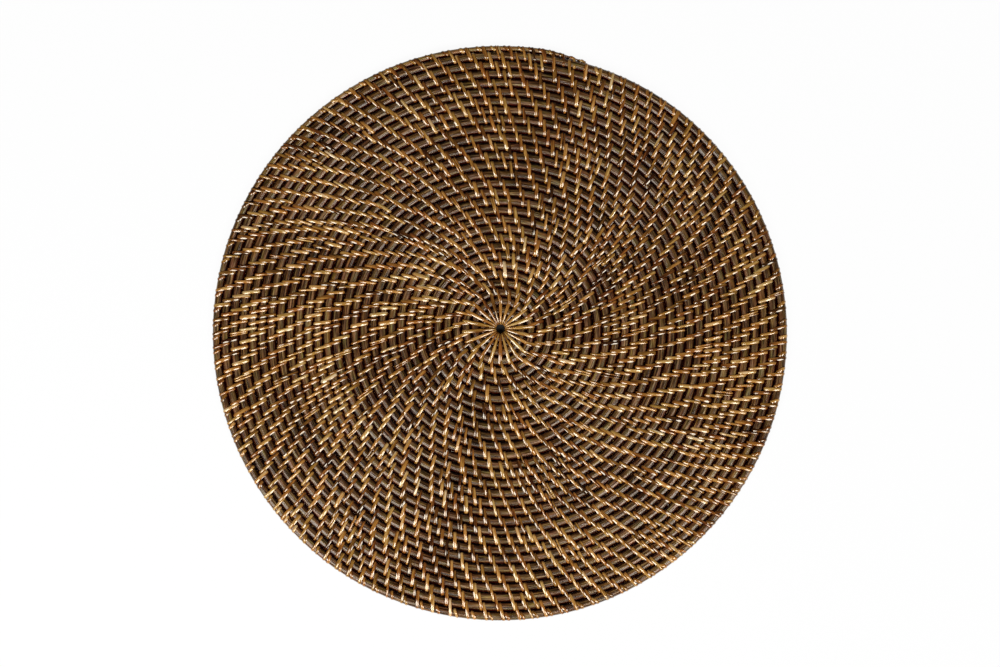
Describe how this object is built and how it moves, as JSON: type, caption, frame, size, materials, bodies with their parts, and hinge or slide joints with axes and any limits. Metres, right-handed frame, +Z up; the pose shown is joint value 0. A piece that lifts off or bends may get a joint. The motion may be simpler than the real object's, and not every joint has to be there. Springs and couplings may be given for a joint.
{
  "type": "charger plate",
  "caption": "Flat round charger plate of coiled rattan rod, bound row to row by split strips that lean into spiral arms, with a small open eye in the middle.",
  "frame": {"origin": "centre of the plate's outline, on the surface that it lies on", "axes": "+Z up out of the plate's face; +Y towards the back, near the tail that ends the coil"},
  "size_m": [0.3284, 0.3302, 0.0056],
  "materials": {
    "rattan_rod": "dark stained rattan rod, satin lacquer",
    "split_strip": "honey-coloured split rattan skin, glossy lacquer"
  },
  "bodies": {
    "root": {"eye_curl": "rattan_rod", "core_start": "rattan_rod", "core_rod_1": "rattan_rod", "core_rod_2": "rattan_rod", "core_rod_3": "rattan_rod", "core_rod_4": "rattan_rod", "core_rod_5": "rattan_rod", "core_tail": "rattan_rod", "eye_binding": "split_strip", "binding_row_1": "split_strip", "binding_row_2": "split_strip", "binding_row_3": "split_strip", "binding_row_4": "split_strip", "binding_row_5": "split_strip", "binding_row_6": "split_strip", "binding_row_7": "split_strip", "binding_row_8": "split_strip", "binding_row_9": "split_strip", "binding_row_10": "split_strip", "binding_row_11": "split_strip", "binding_row_12": "split_strip", "binding_row_13": "split_strip", "binding_row_14": "split_strip", "binding_row_15": "split_strip", "binding_row_16": "split_strip", "binding_row_17": "split_strip", "binding_row_18": "split_strip", "binding_row_19": "split_strip", "binding_row_20": "split_strip", "binding_row_21": "split_strip", "binding_row_22": "split_strip", "binding_row_23": "split_strip", "binding_row_24": "split_strip", "binding_row_25": "split_strip", "binding_row_26": "split_strip", "binding_row_27": "split_strip", "binding_row_28": "split_strip"}
  },
  "joints": []
}
